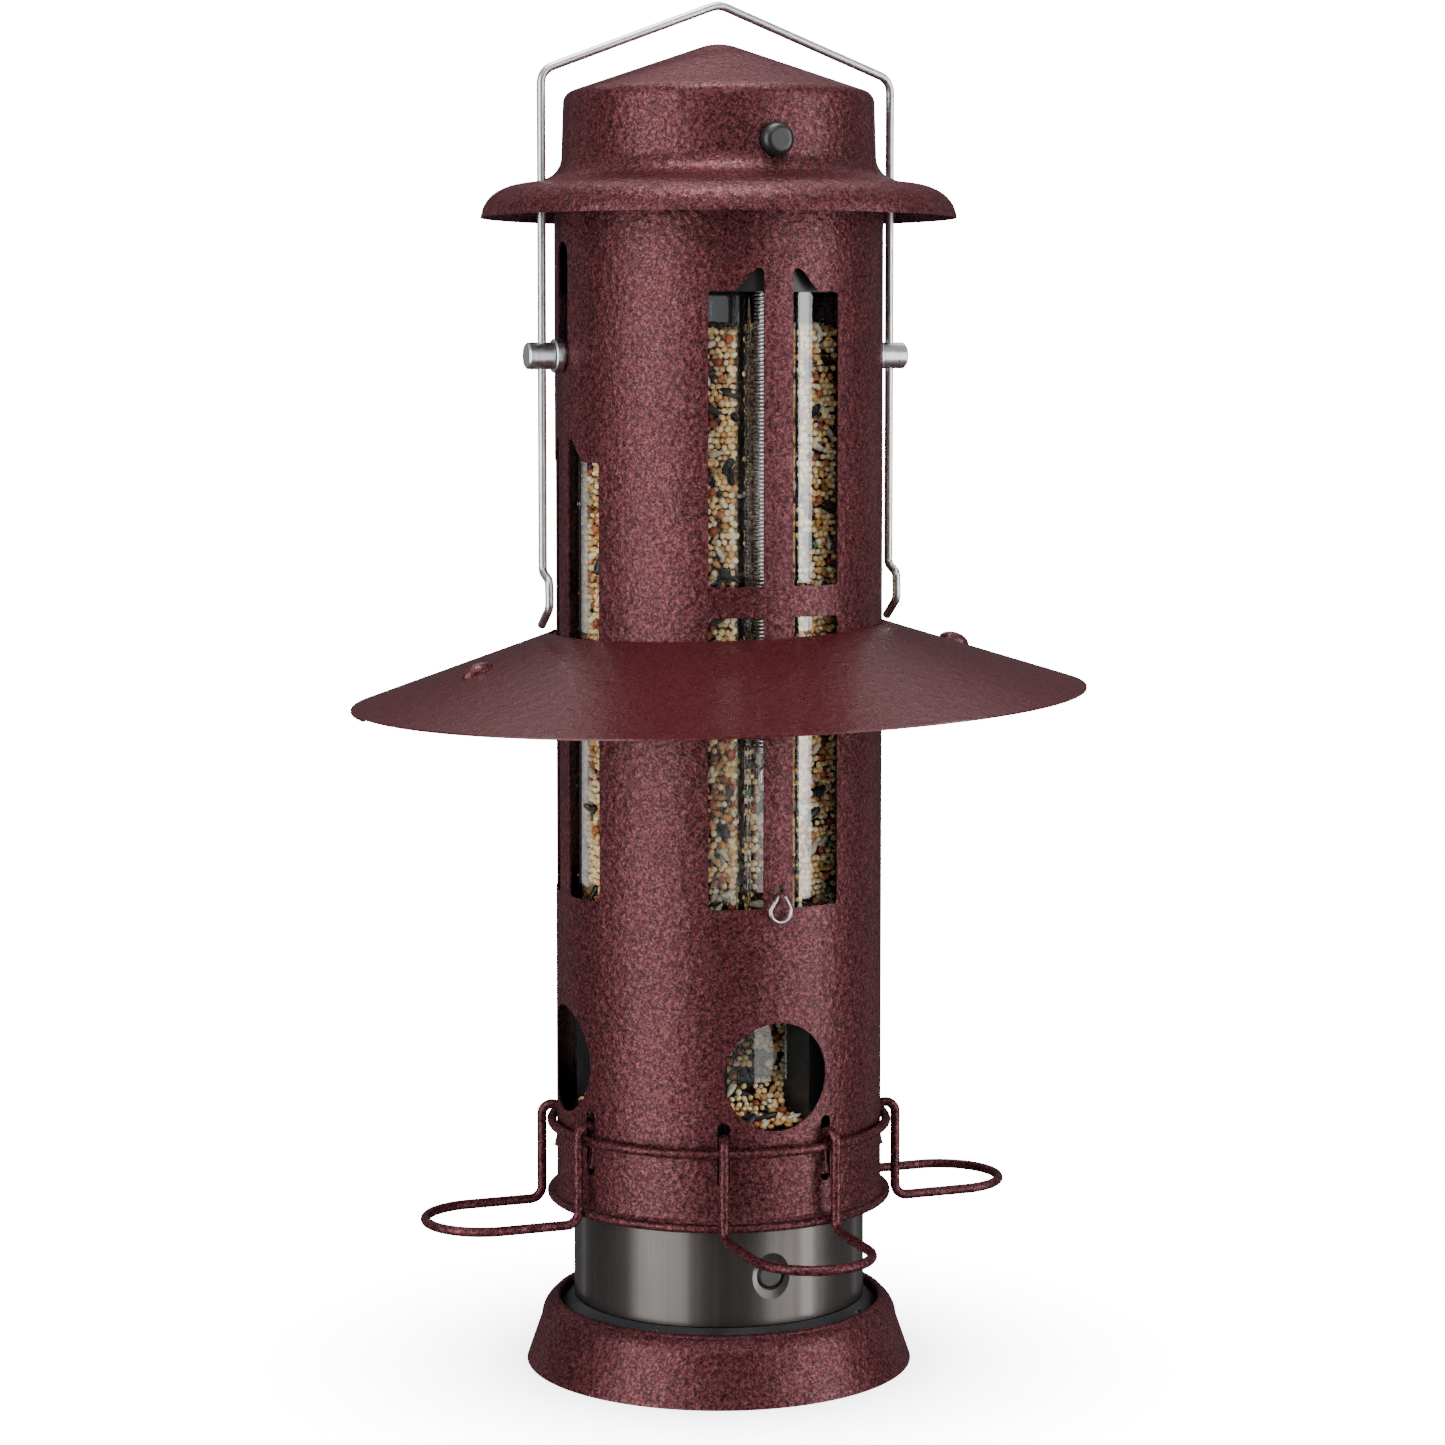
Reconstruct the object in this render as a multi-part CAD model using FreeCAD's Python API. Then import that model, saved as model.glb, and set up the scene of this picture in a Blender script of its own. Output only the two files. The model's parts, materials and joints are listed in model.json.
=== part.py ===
import FreeCAD, Part
import math
import os

# Hanging tube feeder for wild birds.  A clear seed tube hangs from a wire bail.  A perforated
# steel shroud with four perches slides on it, held up by two long springs, and drops to close
# the feeding ports when something heavy climbs on.
# Millimetres.  The origin is the centre of the rim that the feeder stands on, +Z is up, the
# front feeding port faces -Y and the bail lies in the plane of X and Z.

Vector = FreeCAD.Vector
UP = Vector(0, 0, 1)
ORIGIN = Vector(0, 0, 0)
FACES = {"front": 0.0, "right": 90.0, "back": 180.0, "left": 270.0}   # turned about Z from -Y

# ---- driving dimensions ----
SHEET = 0.7               # painted steel sheet of shroud, lid, guard and skirt
WALL = 2.0                # moulded plastic wall
TRAVEL = 39.0             # drop of the shroud from open to closed; its hem stops over the skirt

# base
SKIRT_R = 77.3            # outer radius of the rim on the table
SKIRT_LIP_R = 64.6        # radius of the lip at the top of the skirt
SKIRT_TOP = 26.2
LOWER_R = 58.2            # outer radius of the lower tube
LOWER_BOTTOM = 27.3
PORT_FLOOR = 103.0        # top of the seed tray
SNAP_Z = 46.4             # height of the two snap holes in the lower tube
SNAP_HOLE = 11.4
SNAP_LUG = 10.4           # diameter of the lug that shows in the hole
SNAP_DISH_BALL = 24.0     # radius of the ball that dishes the tube round each hole
SNAP_DISH_DEPTH = 1.8
SKIRT_FLANGE_Z = 19.0
SCREW_R = 60.5            # the base screws lie on this radius
CUP_R = 56.0              # outer radius of the cup wall inside the lower tube
TRAY_SEAT = 100.4         # top of the lower tube

# seed tube and ports
TUBE_R = 57.0
PORT_Z = 125.9            # centre height of the feeding ports
PORT_D = 42.0
PORT_HALF_ANGLE = 19.0    # the side walls of a port bay lie this far each side of its middle
BAY_TOP = 149.5
BAY_DEPTH_R = 42.0        # the bays reach in to this radius
BAFFLE_LOW = 119.7        # seed runs out under the baffle's lower edge
BAY_INNER_APEX = 4.9      # the inside of a bay is a wedge from this far in front of the axis
TUBE_BOTTOM = 152.0       # the clear tube stands on the port ring
TUBE_TOP = 431.0
CHANNEL_HALF = 10.5       # half width of the spring channels in the tube
CHANNEL_R = 45.0          # depth of the spring channels
SEED_TOP = 414.0
COLLAR_R = 60.6
COLLAR_LOW = 427.0
COLLAR_TOP = 500.7

# shroud
SHROUD_R = 65.0
SHROUD_TOP = 463.5
HEM_Z = 68.2              # centre of the rolled hem
HEM_R = 67.2
HEM_WIRE = 1.7            # radius of the rolled hem
FLARE_Z = 73.4            # the sheet starts to flare out here
BAR_HALF = 5.9            # half width of the bar down the middle of the windows
WINDOW_HALF = 26.6        # the windows end here, measured across the face
LOWER_WINDOW = (191.3, 303.2)
UPPER_WINDOW = (315.0, 427.1)
SIDE_LOWER_WINDOW = (191.3, 268.4)
SIDE_UPPER_WINDOW = (290.7, 361.6)
OGEE_RISE = 8.7
LINK_HOLE_Z = 198.4
PIN_SLOT_GAP = 0.3        # play round a hanger pin in its slot

# hanger pins and bail
PIN_Z = 402.6
PIN_SHAFT_R = 5.2
PIN_HEAD_R = 5.3
PIN_NECK_R = 4.0
PIN_SPACER_R = 6.65
PIN_SPACER_X = (65.5, 69.1)
PIN_HEAD_X = (69.4, 79.9)
CROSS_ROD_R = 3.0
BAIL_X = 73.4             # the legs of the bail
BAIL_WIRE = 3.4
BAIL_HOLE = 3.6
BAIL_APEX = 539.2
BAIL_SHOULDER = 512.6
BAIL_JOG = 318.6
BAIL_BOW = 8.0            # how far the lower ends bow to the front
BAIL_END = 297.5

# guard
GUARD_R = 146.2
GUARD_RIM = 266.8
GUARD_SLOPE = 18.7        # degrees
GUARD_TILT = 1.8          # the plate hangs a little low on its left side
GUARD_HOLE_R = 66.4
GUARD_LAP = 4.0           # degrees by which the front half reaches past each side seam
GUARD_LAP_LIFT = 0.9      # the front half lies this far above the back half
GUARD_SEAT_R = 65.9       # the tabs reach in to here and grip the shroud
BUMP_R = 101.0

# perches
PERCH_WIRE = 3.8
RING_R = 67.1
RING_Z = 97.1
PERCH_SLOT_ANGLE = 19.0
PERCH_SLOT = (83.2, 108.9)
PERCH_SLOT_W = 4.8
PERCH_LEG_R = 71.1
PERCH_TAIL_R = 63.1
PERCH_HOOK_Z = 102.9
PERCH_Z = 64.6
PERCH_REACH = 121.6

# springs and links
SPRING_OD = 10.0
SPRING_WIRE = 1.0
SPRING_R = 51.5           # distance of a spring's axis from the feeder's axis
SPRING_LOW = 250.0
SPRING_HIGH = 444.5
ANCHOR_Z = 449.8          # pins that the springs hang on
LINK_WIRE = 1.4

# lid
LID_CYL_R = 62.1
LID_APEX = 524.8
LID_SLOPE = 18.9          # degrees
LID_TIP_BALL = 22.0       # radius of the rounded tip
BRIM_R = 93.9
BRIM_LOW = 456.6
BUTTON_Z = 484.4
BUTTON_D = 12.9

os.makedirs("parts", exist_ok=True)


# ---- small helpers ----
def save(name, shape):
    """Write one node; its solids stay separate."""
    solids = shape.Solids
    if not solids or not shape.isValid():
        raise RuntimeError("bad shape: " + name)
    Part.Compound(solids).exportStep("parts/" + name + ".step")
    volume = sum(solid.Volume for solid in solids)
    box = shape.BoundBox
    print("%-22s %2d solid %9.0f mm3  z %6.1f to %6.1f" % (name, len(solids), volume, box.ZMin, box.ZMax))


def turned(shape, degrees):
    """A copy turned about the feeder's own axis."""
    copy = shape.copy()
    copy.rotate(ORIGIN, UP, degrees)
    return copy


def cylinder(radius, low, high):
    return Part.makeCylinder(radius, high - low, Vector(0, 0, low))


def tube(outer, inner, low, high):
    return cylinder(outer, low, high).cut(cylinder(inner, low - 1, high + 1))


def bar_x(radius, start, end, z, y=0.0):
    """A round bar along X."""
    return Part.makeCylinder(radius, end - start, Vector(start, y, z), Vector(1, 0, 0))


def bar_front(radius, near, far, z, x=0.0):
    """A round bar that points at the front, from distance near to distance far from the axis."""
    return Part.makeCylinder(radius, far - near, Vector(x, -near, z), Vector(0, -1, 0))


def block(x, y, z):
    """A box from its (low, high) pairs."""
    corner = Vector(x[0], y[0], z[0])
    return Part.makeBox(x[1] - x[0], y[1] - y[0], z[1] - z[0], corner)


def ring_of(shape, radius, count, first):
    """Copies of a shape from the axis, set out on a circle and counted from the angle first."""
    copies = []
    for index in range(count):
        copy = shape.copy()
        copy.translate(Vector(radius, 0, 0))
        copies.append(turned(copy, first + index * 360.0 / count))
    return Part.Compound(copies)


def edge_at(shape, y):
    """The edge of a front-pointing bar that lies flat at depth y."""
    for edge in shape.Edges:
        if abs(edge.BoundBox.YMin - y) < 0.01 and edge.BoundBox.YLength < 0.01:
            return edge
    raise RuntimeError("no edge at %.1f" % y)


def revolve(outline):
    """Turn a closed outline of (radius, z) points about Z."""
    points = [Vector(r, 0, z) for r, z in outline]
    wire = Part.makePolygon(points + [points[0]])
    return Part.Face(wire).revolve(ORIGIN, UP, 360)


def sheet_turned(edges, thickness):
    """Turn an open line of edges into a shell of sheet; the sign of thickness picks the side."""
    wire = Part.Wire(edges)
    face = wire.makeOffset2D(-thickness, 0, True, True, False)
    corners = [Vector(0, 0, -50), Vector(200, 0, -50), Vector(200, 0, 600), Vector(0, 0, 600)]
    right_of_axis = Part.Face(Part.makePolygon(corners + [corners[0]]))
    return face.common(right_of_axis).revolve(ORIGIN, UP, 360)


def line(a, b):
    return Part.LineSegment(Vector(*a), Vector(*b)).toShape()


def arc(a, b, c):
    return Part.Arc(Vector(*a), Vector(*b), Vector(*c)).toShape()


def bent_wire(points, bends, diameter, closed=False):
    """A round wire along straight runs; bends gives the bend radius at each inner point."""
    edges = []
    start = points[0]
    for corner, after, radius in zip(points[1:-1], points[2:], bends):
        into = (corner - start).normalize()
        out = (after - corner).normalize()
        turn = into.getAngle(out)
        back = radius * math.tan(turn / 2)
        first = corner - into * back
        last = corner + out * back
        middle_way = (out - into).normalize()
        centre = corner + middle_way * (radius / math.cos(turn / 2))
        middle = centre - middle_way * radius
        if (first - start).Length > 0.01:
            edges.append(Part.LineSegment(start, first).toShape())
        edges.append(Part.Arc(first, middle, last).toShape())
        start = last
    if (points[-1] - start).Length > 0.01:
        edges.append(Part.LineSegment(start, points[-1]).toShape())
    path = Part.Wire(edges)
    way = edges[0].tangentAt(edges[0].FirstParameter)
    section = Part.Wire([Part.makeCircle(diameter / 2, path.Vertexes[0].Point, way)])
    return path.makePipeShell([section], True, False)


def prism_front(outline, near, far):
    """Extrude an outline of (x, z) edges from distance near to distance far towards the front."""
    face = Part.Face(Part.Wire(outline))
    face.translate(Vector(0, -near, 0))
    return face.extrude(Vector(0, near - far, 0))


# ---- base ----
def base_skirt():
    """Painted steel skirt: cone, rounded shoulder, lip turned down and a flange turned in."""
    lip = SKIRT_LIP_R
    edges = [
        line((SKIRT_R + 0.7, 0, -2.0), (71.4, 0, 17.0)),
        arc((71.4, 0, 17.0), (70.2, 0, 21.6), (67.0, 0, 25.2)),
        arc((67.0, 0, 25.2), (65.2, 0, SKIRT_TOP), (lip - 0.8, 0, 24.4)),
        line((lip - 0.8, 0, 24.4), (lip - 0.8, 0, SKIRT_FLANGE_Z)),
        line((lip - 0.8, 0, SKIRT_FLANGE_Z), (57.0, 0, SKIRT_FLANGE_Z)),
    ]
    skirt = sheet_turned(edges, -SHEET).cut(cylinder(SKIRT_R + 5, -5, 0))
    return skirt.cut(ring_of(cylinder(1.7, 10, 24), SCREW_R, 4, 45))


def base_floor():
    """Black moulded floor: bevelled groove ring outside, cup wall that plugs the lower tube."""
    outline = [
        (0, 19.2), (63.4, 19.2), (63.4, 22.2), (58.6, 27.0), (CUP_R, 27.0), (CUP_R, 62.0),
        (CUP_R - WALL, 62.0), (CUP_R - WALL, 22.2), (0, 22.2),
    ]
    floor = revolve(outline)
    snap_bore = bar_front(SNAP_LUG / 2 + 0.1, 50, 60, SNAP_Z)
    floor = floor.cut(snap_bore).cut(turned(snap_bore, 180))
    return floor.cut(ring_of(cylinder(1.45, 18, 26.0), SCREW_R, 4, 45))


def base_screws():
    """Four pan-head screws, up through the skirt's flange into the black floor."""
    head = cylinder(3.0, 15.9, SKIRT_FLANGE_Z - SHEET - 0.05)
    head = head.makeFillet(0.9, [head.Edges[2]])
    recess = block((-2, 2), (-0.5, 0.5), (15, 16.8)).fuse(block((-0.5, 0.5), (-2, 2), (15, 16.8)))
    screw = head.cut(recess).fuse(cylinder(1.4, 17.0, 25.6))
    return ring_of(screw, SCREW_R, 4, 45)


def lower_tube():
    """Glossy lower tube with a dished thumb hole at the front and at the back."""
    body = tube(LOWER_R, LOWER_R - WALL, LOWER_BOTTOM, TRAY_SEAT)
    dish_y = -(LOWER_R - SNAP_DISH_DEPTH + SNAP_DISH_BALL)
    dish = Part.makeSphere(SNAP_DISH_BALL, Vector(0, dish_y, SNAP_Z))
    for way in (0, 180):
        body = body.cut(turned(bar_front(SNAP_HOLE / 2, 50, 62, SNAP_Z), way))
        body = body.cut(turned(dish, way))
    return body


def base_snap():
    """Spring-loaded lug in the thumb hole, with a flange that keeps it in the cup wall."""
    lug = bar_front(SNAP_LUG / 2, 50.6, 56.8, SNAP_Z)
    lug = lug.makeFillet(1.2, [edge_at(lug, -56.8)])
    return lug.fuse(bar_front(6.6, 50.6, 52.0, SNAP_Z))


def base_snap_spring():
    """Bent steel strip behind a snap lug, standing on the floor of the cup."""
    strip = block((-4, 4), (-47.2, -46.6), (22.6, 53.0))
    foot = block((-4, 4), (-46.6, -38.0), (22.4, 23.0))
    return strip.fuse(foot).removeSplitter()


# ---- seed tray and ports ----
def seed_tray():
    """Black tray on the lower tube; its cone sends the seed out to the four ports."""
    outline = [
        (0, 126.0), (3.0, 126.0), (36.5, 103.0), (LOWER_R, 103.0), (LOWER_R, TRAY_SEAT),
        (LOWER_R - WALL - 0.1, TRAY_SEAT), (LOWER_R - WALL - 0.1, 94.0), (54.0, 94.0),
        (54.0, 100.6), (35.4, 100.6), (2.4, 123.4), (0, 123.4),
    ]
    return revolve(outline).cut(ring_of(cylinder(1.5, 99, 105), 49.5, 16, 11.25))


def wedge(half_angle, apex, low, high):
    """A wedge of space that opens towards the front from the point apex in front of the axis."""
    reach = 90.0
    side = (reach - apex) * math.tan(math.radians(half_angle))
    corners = [Vector(0, -apex, low), Vector(side, -reach, low), Vector(-side, -reach, low)]
    return Part.Face(Part.makePolygon(corners + [corners[0]])).extrude(Vector(0, 0, high - low))


def port_ring():
    """Black ring between tray and seed tube, with an opening for each port."""
    ring = tube(TUBE_R, TUBE_R - WALL, PORT_FLOOR, TUBE_BOTTOM)
    opening = wedge(PORT_HALF_ANGLE + 0.4, 0, PORT_FLOOR - 1, BAY_TOP + 0.1)
    for way in FACES.values():
        ring = ring.cut(turned(opening, way))
    return ring


def port_bay():
    """Black surround of one port: two walls that run in towards the axis, and a roof."""
    bay = wedge(PORT_HALF_ANGLE, 0, PORT_FLOOR + 0.1, BAY_TOP).common(
        tube(TUBE_R - 0.1, BAY_DEPTH_R, PORT_FLOOR, BAY_TOP))
    inside = wedge(PORT_HALF_ANGLE, BAY_INNER_APEX, PORT_FLOOR - 1, BAY_TOP - WALL)
    return bay.cut(inside)


def port_baffle():
    """Clear curved plate across the back of a bay; seed runs out under it."""
    plate = tube(BAY_DEPTH_R + 1.8, BAY_DEPTH_R + 0.2, BAFFLE_LOW, BAY_TOP - WALL - 0.1)
    return plate.common(wedge(PORT_HALF_ANGLE, BAY_INNER_APEX + 0.3, BAFFLE_LOW - 1, BAY_TOP))


def seed_tube():
    """Clear tube with a deep channel for a spring at the front and at the back."""
    outer = cylinder(TUBE_R, TUBE_BOTTOM, TUBE_TOP)
    inner = cylinder(TUBE_R - WALL, TUBE_BOTTOM - 1, TUBE_TOP + 1)
    for way in (0, 180):
        outer = outer.cut(turned(channel(0.0, TUBE_BOTTOM + WALL, TUBE_TOP + 2), way))
        inner = inner.cut(turned(channel(WALL, TUBE_BOTTOM - 2, TUBE_TOP + 2), way))
    body = outer.cut(inner)
    return body.cut(bar_x(CROSS_ROD_R + 0.1, -70, 70, PIN_Z))


def channel(grow, low, high):
    """The space of the front spring channel, grown by the wall for its inner side."""
    half = CHANNEL_HALF + grow
    corner = 2.5 + grow / 2
    space = block((-half, half), (-70, -(CHANNEL_R - grow)), (low, high))
    uprights = [e for e in space.Edges if e.BoundBox.ZLength > 1 and e.BoundBox.YMax > -60]
    return space.makeFillet(corner, uprights)


def top_collar():
    """Black collar on top of the clear tube: fill mouth, spring notches and pin ears."""
    outline = [
        (TUBE_R + 0.2, COLLAR_LOW), (COLLAR_R, COLLAR_LOW), (COLLAR_R, COLLAR_TOP),
        (COLLAR_R - WALL, COLLAR_TOP), (COLLAR_R - WALL, 433.4), (55.0, 433.4),
        (55.0, 431.2), (TUBE_R + 0.2, 431.2),
    ]
    collar = revolve(outline)
    notch = block((-CHANNEL_HALF + 2, CHANNEL_HALF - 2), (-COLLAR_R + WALL, -45), (426, 434))
    button_slot = block((-8.6, 8.6), (-62, -50), (BUTTON_Z - 8.6, COLLAR_TOP + 1))
    ear = block((6.6, 8.8), (-(COLLAR_R - WALL) + 0.6, -48.5), (433.4, 455.5))
    ear = ear.fuse(ear.mirror(ORIGIN, Vector(1, 0, 0)))
    ear = ear.cut(bar_x(1.25, -12, 12, ANCHOR_Z, -SPRING_R))
    for way in (0, 180):
        collar = collar.cut(turned(notch, way)).cut(turned(button_slot, way))
    for way in (0, 180):
        collar = collar.fuse(turned(ear, way))
    return collar


def spring_anchor():
    return bar_x(1.2, -10.2, 10.2, ANCHOR_Z, -SPRING_R)


def seed_fill():
    """The seed that fills the tube, as one lump."""
    outline = [
        (0, 127.0), (3.6, 127.0), (37.4, 103.4), (BAY_DEPTH_R - 0.4, 103.4),
        (BAY_DEPTH_R - 0.4, TUBE_BOTTOM + 0.5), (TUBE_R - WALL - 0.4, TUBE_BOTTOM + 0.5),
        (TUBE_R - WALL - 0.4, SEED_TOP), (0, SEED_TOP),
    ]
    lump = revolve(outline)
    for way in (0, 180):
        lump = lump.cut(turned(channel(WALL + 0.4, TUBE_BOTTOM, SEED_TOP + 1), way))
    return lump.cut(bar_x(CROSS_ROD_R + 0.3, -70, 70, PIN_Z))


# ---- hanger ----
def cross_rod():
    """Steel rod right through the seed tube, screwed into both hanger pins."""
    rod = bar_x(CROSS_ROD_R, -64.0, 64.0, PIN_Z)
    return rod.makeChamfer(0.6, [e for e in rod.Edges if e.BoundBox.XLength < 0.1])


def hanger_pin():
    """Turned steel pin on the right side: shaft in the slot, neck, head with the bail hole."""
    shaft = bar_x(PIN_SHAFT_R, TUBE_R + 0.3, PIN_SPACER_X[0] - 0.1, PIN_Z)
    neck = bar_x(PIN_NECK_R, PIN_SPACER_X[0] - 0.1, PIN_HEAD_X[0], PIN_Z)
    head = bar_x(PIN_HEAD_R, PIN_HEAD_X[0], PIN_HEAD_X[1], PIN_Z)
    head = head.makeChamfer(0.7, [e for e in head.Edges if e.BoundBox.XMin > PIN_HEAD_X[1] - 0.1])
    pin = shaft.fuse(neck).fuse(head)
    pin = pin.cut(bar_x(CROSS_ROD_R + 0.02, 50, 64.4, PIN_Z))
    bail_hole = Part.makeCylinder(BAIL_HOLE / 2, 20, Vector(BAIL_X, 0, PIN_Z - 10))
    return pin.cut(bail_hole)


def pin_spacer():
    """Loose steel collar between the shroud and the pin's head."""
    ring = bar_x(PIN_SPACER_R, PIN_SPACER_X[0], PIN_SPACER_X[1], PIN_Z)
    ring = ring.makeChamfer(0.4, [e for e in ring.Edges if e.BoundBox.XLength < 0.1])
    return ring.cut(bar_x(PIN_NECK_R + 0.03, 60, 72, PIN_Z))


def bail():
    """Wire bail: peaked top, straight legs, and at each foot a jog, a bow and a turned-in tip."""
    def foot(x):
        return [
            Vector(x, 1.6, BAIL_END),
            Vector(x, -BAIL_BOW - 0.6, BAIL_END + 7.4),
            Vector(x, -BAIL_BOW, BAIL_JOG - 3.2),
            Vector(x, 0, BAIL_JOG),
            Vector(x, 0, BAIL_SHOULDER),
        ]
    peak = Vector(0, 0, BAIL_APEX + 1.1)
    points = foot(-BAIL_X) + [peak] + foot(BAIL_X)[::-1]
    foot_bends = [4.5, 2.6, 2.6, 7.0]
    return bent_wire(points, foot_bends + [9.0] + foot_bends[::-1], BAIL_WIRE)


# ---- shroud ----
def window(low, high, ogee):
    """One window right of the middle bar; an ogee top climbs towards the bar."""
    near = BAR_HALF
    far = WINDOW_HALF
    r = 1.6
    edges = [
        line((near + r, 0, low), (far - r, 0, low)),
        arc((far - r, 0, low), (far - r * 0.293, 0, low + r * 0.293), (far, 0, low + r)),
        line((far, 0, low + r), (far, 0, high - r)),
        arc((far, 0, high - r), (far - r * 0.293, 0, high - r * 0.293), (far - r, 0, high)),
    ]
    if ogee:
        top = high + OGEE_RISE
        curve = Part.BezierCurve()
        curve.setPoles([Vector(18.6, 0, high), Vector(14.6, 0, high + 0.2),
                        Vector(12.2, 0, top - 1.6), Vector(8.6, 0, top)])
        edges += [
            line((far - r, 0, high), (18.6, 0, high)),
            curve.toShape(),
            arc((8.6, 0, top), (near + 0.7, 0, top - 0.4), (near, 0, top - 2.6)),
            line((near, 0, top - 2.6), (near, 0, low + r)),
        ]
    else:
        edges += [
            line((far - r, 0, high), (near + r, 0, high)),
            arc((near + r, 0, high), (near + r * 0.293, 0, high - r * 0.293), (near, 0, high - r)),
            line((near, 0, high - r), (near, 0, low + r)),
        ]
    edges.append(arc((near, 0, low + r), (near + r * 0.293, 0, low + r * 0.293), (near + r, 0, low)))
    right = prism_front(edges, 40, 75)
    return right.fuse(right.mirror(ORIGIN, Vector(1, 0, 0)))


def pin_slot():
    """Upright slot for a hanger pin, cut through the front for turning to the sides."""
    radius = PIN_SHAFT_R + PIN_SLOT_GAP
    low = bar_front(radius, 50, 75, PIN_Z)
    high = bar_front(radius, 50, 75, PIN_Z + TRAVEL)
    return low.fuse(high).fuse(block((-radius, radius), (-75, -50), (PIN_Z, PIN_Z + TRAVEL)))


def perch_slot():
    half = PERCH_SLOT_W / 2
    low, high = PERCH_SLOT
    slot = block((-half, half), (-75, -50), (low + half, high - half))
    return slot.fuse(bar_front(half, 50, 75, low + half)).fuse(bar_front(half, 50, 75, high - half))


def shroud():
    """Perforated sliding tube: windows, ports, pin slots and perch slots, hemmed at the bottom."""
    body = tube(SHROUD_R, SHROUD_R - SHEET, FLARE_Z, SHROUD_TOP)
    flare = revolve([(SHROUD_R - SHEET, FLARE_Z), (SHROUD_R, FLARE_Z), (65.6, 71.2), (66.9, 69.4),
                     (66.3, 68.6), (65.0, 70.8)])
    hem = Part.makeTorus(HEM_R, HEM_WIRE, Vector(0, 0, HEM_Z))
    body = body.fuse(flare).fuse(hem)
    port = bar_front(PORT_D / 2, 50, 75, PORT_Z)
    for name, way in FACES.items():
        cuts = [port, turned(perch_slot(), PERCH_SLOT_ANGLE), turned(perch_slot(), -PERCH_SLOT_ANGLE)]
        if name in ("front", "back"):
            cuts += [window(*LOWER_WINDOW, False), window(*UPPER_WINDOW, True)]
            cuts.append(bar_front(2.0, 50, 75, LINK_HOLE_Z))
        else:
            cuts += [window(*SIDE_LOWER_WINDOW, False), window(*SIDE_UPPER_WINDOW, True), pin_slot()]
        for tool in cuts:
            body = body.cut(turned(tool, way))
    return body


def link_wire():
    """Wire from the foot of a spring down and out through the shroud, ending in an eye."""
    y = -SPRING_R
    hook = 2.2
    hook_z = SPRING_LOW - 7.8
    down = [
        Vector(-hook, y, hook_z - 4.0), Vector(-hook, y, hook_z + hook), Vector(hook, y, hook_z + hook),
        Vector(hook, y, hook_z - 4.0), Vector(0, y, hook_z - 9.0), Vector(0, y, LINK_HOLE_Z + 1.2),
        Vector(0, -SHROUD_R - 2.2, LINK_HOLE_Z - 0.6), Vector(-4.4, -SHROUD_R - 2.4, LINK_HOLE_Z - 6.5),
        Vector(-3.2, -SHROUD_R - 2.4, LINK_HOLE_Z - 12.0), Vector(3.2, -SHROUD_R - 2.4, LINK_HOLE_Z - 12.0),
        Vector(4.4, -SHROUD_R - 2.4, LINK_HOLE_Z - 6.5), Vector(1.2, -SHROUD_R - 3.6, LINK_HOLE_Z - 1.8),
    ]
    bends = [2.15, 2.15, 3.0, 3.0, 3.0, 1.3, 3.2, 2.9, 2.9, 3.2]
    return bent_wire(down, bends, LINK_WIRE)


def spring():
    """Long extension spring as its outer sleeve, with a hook ring at each end."""
    centre = Vector(0, -SPRING_R, 0)
    coils = cylinder(SPRING_OD / 2, SPRING_LOW, SPRING_HIGH)
    coils = coils.cut(cylinder(SPRING_OD / 2 - SPRING_WIRE, SPRING_LOW + 1, SPRING_HIGH - 1))
    ring_r = 3.5
    for z in (SPRING_HIGH + ring_r + 0.2, SPRING_LOW - ring_r - 0.2):
        coils = coils.fuse(Part.makeTorus(ring_r, SPRING_WIRE / 2, Vector(0, 0, z), Vector(1, 0, 0)))
    coils.translate(centre)
    return coils


# ---- guard ----
def guard_rise(radius):
    """Height of the guard's cone above its rim at a radius."""
    return (GUARD_R - radius) * math.tan(math.radians(GUARD_SLOPE))


def guard_cone(lift):
    """Upper cone sheet of the guard, raised by lift."""
    rise = guard_rise(GUARD_HOLE_R)
    low = GUARD_RIM + lift
    outline = [
        (GUARD_R, low), (GUARD_R, low + SHEET), (GUARD_HOLE_R, low + rise + SHEET),
        (GUARD_HOLE_R, low + rise),
    ]
    return revolve(outline)


def guard_half(lift, overlap):
    """The front half of the guard, reaching overlap degrees past the side seams."""
    behind = block((-200, 200), (0, 200), (200, 350))
    half = guard_cone(lift).cut(turned(behind, overlap).common(turned(behind, -overlap)))
    outer = GUARD_HOLE_R + 0.6
    top = GUARD_RIM + lift + guard_rise(GUARD_HOLE_R)
    tab = tube(outer, GUARD_SEAT_R, top - 0.2, top + SHEET)
    tab = tab.common(block((-4, 4), (-outer, -GUARD_SEAT_R), (top - 1, top + 1)))
    for way in (-60, 0, 60):
        half = half.fuse(turned(tab, way))
    return half


def guard_bump():
    """Hollow raised bump on the sheet beside the right seam."""
    z = GUARD_RIM + guard_rise(BUMP_R) + GUARD_LAP_LIFT
    ball = Part.makeSphere(1.0)
    shell = scaled(ball, (6.6, 4.2, 3.8)).cut(scaled(ball, (5.8, 3.4, 3.0)))
    shell = shell.cut(Part.makeBox(20, 20, 10, Vector(-10, -10, -10)))
    shell.rotate(ORIGIN, Vector(0, 1, 0), GUARD_SLOPE)
    shell.translate(Vector(BUMP_R, -4.6, z + SHEET - 0.3))
    return shell


def guard_bump_left():
    return guard_bump().mirror(ORIGIN, Vector(1, 0, 0))


def scaled(shape, factors):
    matrix = FreeCAD.Matrix()
    matrix.scale(Vector(*factors))
    return shape.transformGeometry(matrix)


def tilt(shape):
    """Tip the guard a little, low side to the left, about its rim's height."""
    copy = shape.copy()
    copy.rotate(Vector(0, 0, GUARD_RIM), Vector(0, 1, 0), -GUARD_TILT)
    return copy


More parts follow.
